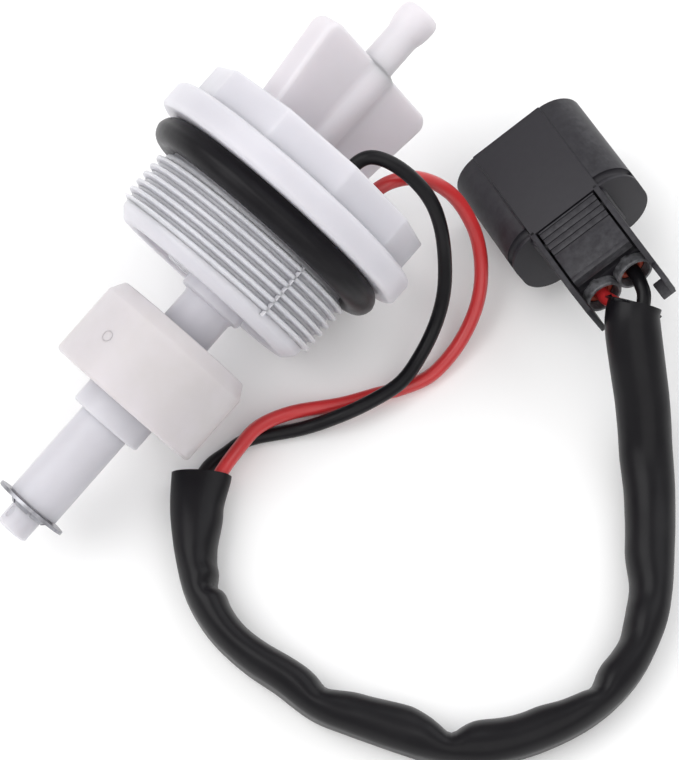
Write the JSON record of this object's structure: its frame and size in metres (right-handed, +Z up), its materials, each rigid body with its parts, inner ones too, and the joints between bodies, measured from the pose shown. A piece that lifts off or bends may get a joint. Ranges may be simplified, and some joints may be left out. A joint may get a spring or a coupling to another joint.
{
  "type": "float valve",
  "caption": "fuel-filter float sensor: threaded plug body, winged drain valve with hose barb, magnetic float sliding on an offset stem, sleeved two-wire lead to a sealed connector",
  "frame": {"origin": "on the surface the part lies on, below the middle of the sensor's bounding box, the lead and connector left out", "axes": "+X along the sensor from stem tip towards hose barb, +Z up"},
  "size_m": [0.1097, 0.1083, 0.0451],
  "materials": {
    "white_nylon": "satin moulded nylon",
    "nitrile_rubber": "smooth oiled rubber",
    "white_stem_nylon": "satin moulded nylon",
    "reed_glass": "clear glass",
    "tinned_wire": "bright tin",
    "potting_resin": "cast epoxy",
    "spring_steel": "zinc plated spring steel",
    "float_nylon": "milky moulded plastic",
    "float_hub_nylon": "satin moulded plastic",
    "ferrite": "sintered ferrite",
    "knob_nylon": "satin moulded nylon",
    "black_wire_pvc": "glossy PVC insulation",
    "red_wire_pvc": "glossy PVC insulation",
    "sleeve_pvc": "glossy soft PVC sleeve",
    "connector_nylon": "fine textured nylon",
    "lock_nylon": "fine textured nylon",
    "red_silicone": "soft silicone",
    "tinned_brass": "tinned brass"
  },
  "bodies": {
    "sensor": {"threaded_body": "white_nylon", "body_o_ring": "nitrile_rubber", "stem_tube": "white_stem_nylon", "reed_switch": "reed_glass", "reed_leads": "tinned_wire", "potting_fill": "potting_resin", "retaining_clip": "spring_steel", "black_wire": "black_wire_pvc", "red_wire": "red_wire_pvc", "cable_sleeve": "sleeve_pvc", "black_wire_tail": "black_wire_pvc", "red_wire_tail": "red_wire_pvc", "connector_housing": "connector_nylon", "terminal_lock": "lock_nylon", "interface_seal": "red_silicone", "wire_seal_left": "red_silicone", "wire_seal_right": "red_silicone", "terminal_left": "tinned_brass", "terminal_right": "tinned_brass"},
    "float": {"float_shell": "float_nylon", "float_hub": "float_hub_nylon", "float_magnet": "ferrite"},
    "drain_lifter": {"drain_seal": "nitrile_rubber"},
    "drain_screw": {"drain_knob": "knob_nylon"},
    "latch": {"latch_lever": "connector_nylon"}
  },
  "joints": [
    {"name": "float_slide", "type": "slide", "parent": "sensor", "child": "float", "axis": [-0.9748, 0, -0.2233], "range_m": [-0.0052, 0.0157]},
    {"name": "drain_lift", "type": "slide", "parent": "sensor", "child": "drain_lifter", "axis": [0.9748, 0, 0.2233], "range_m": [0, 0.00225]},
    {"name": "drain_turn", "type": "hinge", "parent": "drain_lifter", "child": "drain_screw", "pos_m": [0.01254, 0.00344, 0.0197], "axis": [0.9748, 0, 0.2233], "range_deg": [0, 540]},
    {"name": "latch_press", "type": "hinge", "parent": "sensor", "child": "latch", "pos_m": [0.04104, -0.03454, 0.0185], "axis": [0.9116, -0.236, 0.3366], "range_deg": [0, 5], "stiffness_Nm_per_rad": 0.1, "springref_deg": -2.86}
  ],
  "couplings": [
    {"joint": "drain_turn", "follows": "drain_lift", "rad_per_m": 4188.8}
  ]
}
